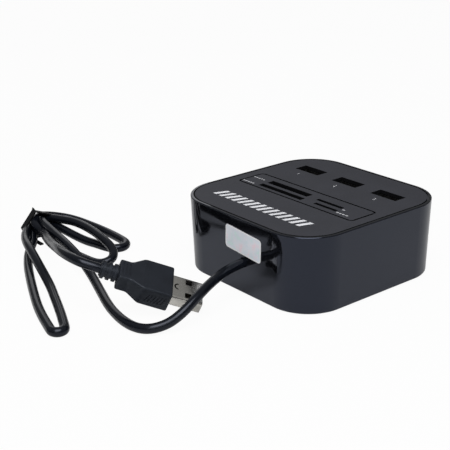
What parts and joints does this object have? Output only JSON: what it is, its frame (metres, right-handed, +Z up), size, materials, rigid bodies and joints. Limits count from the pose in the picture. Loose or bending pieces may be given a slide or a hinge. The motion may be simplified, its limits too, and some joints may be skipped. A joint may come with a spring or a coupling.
{
  "type": "usb hub card reader",
  "caption": "Low square desk hub with rounded corners, upright USB ports and card slots in a matt top, and a lead tied in a hank with its plug.",
  "frame": {"origin": "under the middle of the hub, on the surface that its feet stand on", "axes": "+Z up, X along the front where the lead comes out, +Y towards the row of USB ports"},
  "size_m": [0.1447, 0.1507, 0.0303],
  "materials": {
    "gloss_body": "polished black",
    "matt_panel": "fine matt grain",
    "cover_plastic": "matt black",
    "foot_rubber": "matt",
    "steel": "plain steel",
    "board": "green lacquer",
    "chip": "matt black",
    "ceramic": "fired",
    "wire": "coloured insulation",
    "nylon": "natural",
    "label": "pale film",
    "cable_jacket": "soft sheen",
    "tie": "black film",
    "plug_metal": "plated",
    "insulator_plastic": "black moulding",
    "socket_plastic": "black moulding",
    "contact": "plated"
  },
  "bodies": {
    "root": {"bottom_cover": "cover_plastic", "cable_hank": "cable_jacket", "cable_lead": "cable_jacket", "cable_retainer": "nylon", "cable_tail": "cable_jacket", "card_contacts": "contact", "card_socket": "socket_plastic", "chip_capacitors": "ceramic", "cover_screws": "steel", "crystal": "steel", "housing_shell": "gloss_body", "hub_chip": "chip", "lead_cores": "wire", "main_board": "board", "micro_card_contacts": "contact", "micro_card_socket": "socket_plastic", "micro_stick_contacts": "contact", "micro_stick_socket": "socket_plastic", "plug_blade": "insulator_plastic", "plug_contacts": "contact", "plug_overmould": "cable_jacket", "plug_shell": "plug_metal", "reader_chip": "chip", "rubber_foot_1": "foot_rubber", "rubber_foot_2": "foot_rubber", "rubber_foot_3": "foot_rubber", "rubber_foot_4": "foot_rubber", "side_sticker": "label", "stick_contacts": "contact", "stick_socket": "socket_plastic", "top_panel": "matt_panel", "twist_tie": "tie", "usb_contacts_1": "contact", "usb_contacts_2": "contact", "usb_contacts_3": "contact", "usb_insulator_1": "insulator_plastic", "usb_insulator_2": "insulator_plastic", "usb_insulator_3": "insulator_plastic", "usb_shell_1": "plug_metal", "usb_shell_2": "plug_metal", "usb_shell_3": "plug_metal"}
  },
  "joints": []
}
